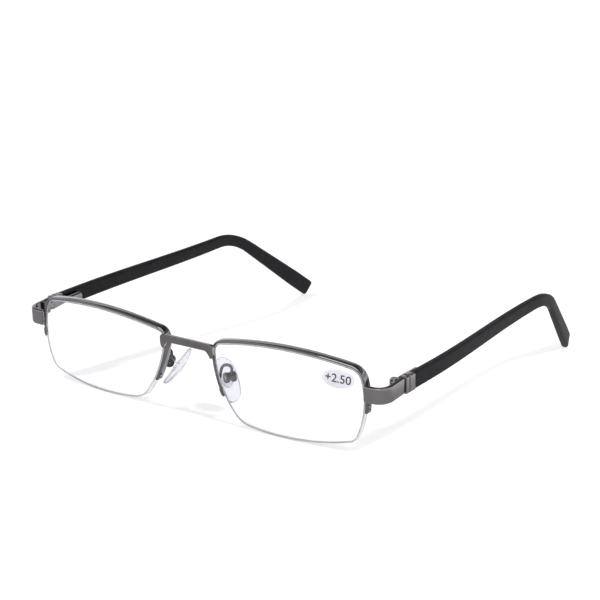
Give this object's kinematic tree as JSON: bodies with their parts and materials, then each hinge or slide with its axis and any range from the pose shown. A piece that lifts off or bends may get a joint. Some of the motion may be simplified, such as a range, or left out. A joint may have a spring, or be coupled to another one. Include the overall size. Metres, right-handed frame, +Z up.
{
  "type": "half-rim reading glasses",
  "caption": "Half-rim reading glasses with a metal front, nylon-held lenses, clear nose pads, spring hinges and black temples.",
  "frame": {"origin": "on the surface that the glasses stand on, midway between left and right and between front and back", "axes": "+X to the wearer's left, +Y from the front to the ears, +Z up"},
  "size_m": [0.1326, 0.136, 0.0273],
  "materials": {
    "frame_metal": "satin gunmetal plating",
    "screw_steel": "plain steel",
    "temple_black": "matt black",
    "lens": "clear polished plastic lens",
    "nylon": "clear nylon",
    "nose_pad": "clear soft silicone",
    "pad_insert": "clear hard plastic",
    "sticker": "pale film"
  },
  "bodies": {
    "front": {"bridge": "frame_metal", "half_rim_left": "frame_metal", "half_rim_right": "frame_metal", "rim_liner_left": "nylon", "rim_liner_right": "nylon", "lens_left": "lens", "lens_right": "lens", "nylon_cord_left": "nylon", "nylon_cord_right": "nylon", "power_sticker": "sticker", "end_piece_left": "frame_metal", "end_piece_right": "frame_metal", "hinge_leaf_left": "frame_metal", "hinge_leaf_right": "frame_metal", "pad_arm_left": "frame_metal", "pad_arm_right": "frame_metal", "pad_barrel_left": "frame_metal", "pad_barrel_right": "frame_metal", "pad_screw_left": "screw_steel", "pad_screw_right": "screw_steel"},
    "left_pad": {"pad_insert_left": "pad_insert", "nose_pad_left": "nose_pad"},
    "left_screw": {"hinge_screw_left": "screw_steel"},
    "left_slider": {"hinge_slider_left": "screw_steel", "slider_nut_left": "screw_steel", "hinge_spring_left": "screw_steel"},
    "left_temple": {"spring_box_left": "frame_metal", "box_plug_left": "screw_steel", "temple_cap_left": "frame_metal", "temple_core_left": "screw_steel", "temple_arm_left": "temple_black"},
    "right_pad": {"pad_insert_right": "pad_insert", "nose_pad_right": "nose_pad"},
    "right_screw": {"hinge_screw_right": "screw_steel"},
    "right_slider": {"hinge_slider_right": "screw_steel", "slider_nut_right": "screw_steel", "hinge_spring_right": "screw_steel"},
    "right_temple": {"spring_box_right": "frame_metal", "box_plug_right": "screw_steel", "temple_cap_right": "frame_metal", "temple_core_right": "screw_steel", "temple_arm_right": "temple_black"}
  },
  "joints": [
    {"name": "left_flex", "type": "hinge", "parent": "front", "child": "left_screw", "pos_m": [0.06317, -0.05584, 0.01918], "axis": [0, -0.0713, 0.9975], "range_deg": [-12, 0], "stiffness_Nm_per_rad": 0.37},
    {"name": "left_fold", "type": "hinge", "parent": "left_screw", "child": "left_slider", "pos_m": [0.06317, -0.05584, 0.01918], "axis": [0, -0.0713, 0.9975], "range_deg": [0, 86]},
    {"name": "left_slide", "type": "slide", "parent": "left_slider", "child": "left_temple", "axis": [0, 0.9975, 0.0713], "range_m": [0, 0.0006]},
    {"name": "left_pad_rock", "type": "hinge", "parent": "front", "child": "left_pad", "pos_m": [0.0118, -0.06054, 0.01263], "axis": [0.5, 0.8638, 0.0618], "range_deg": [-8, 8]},
    {"name": "right_flex", "type": "hinge", "parent": "front", "child": "right_screw", "pos_m": [-0.06317, -0.05584, 0.01918], "axis": [0, 0.0713, -0.9975], "range_deg": [-12, 0], "stiffness_Nm_per_rad": 0.37},
    {"name": "right_fold", "type": "hinge", "parent": "right_screw", "child": "right_slider", "pos_m": [-0.06317, -0.05584, 0.01918], "axis": [0, 0.0713, -0.9975], "range_deg": [0, 77]},
    {"name": "right_slide", "type": "slide", "parent": "right_slider", "child": "right_temple", "axis": [0, 0.9975, 0.0713], "range_m": [0, 0.0006]},
    {"name": "right_pad_rock", "type": "hinge", "parent": "front", "child": "right_pad", "pos_m": [-0.0118, -0.06054, 0.01263], "axis": [-0.5, 0.8638, 0.0618], "range_deg": [-8, 8]}
  ],
  "couplings": [
    {"joint": "left_slide", "follows": "left_flex", "m_per_rad": -0.0024},
    {"joint": "right_slide", "follows": "right_flex", "m_per_rad": -0.0024}
  ]
}
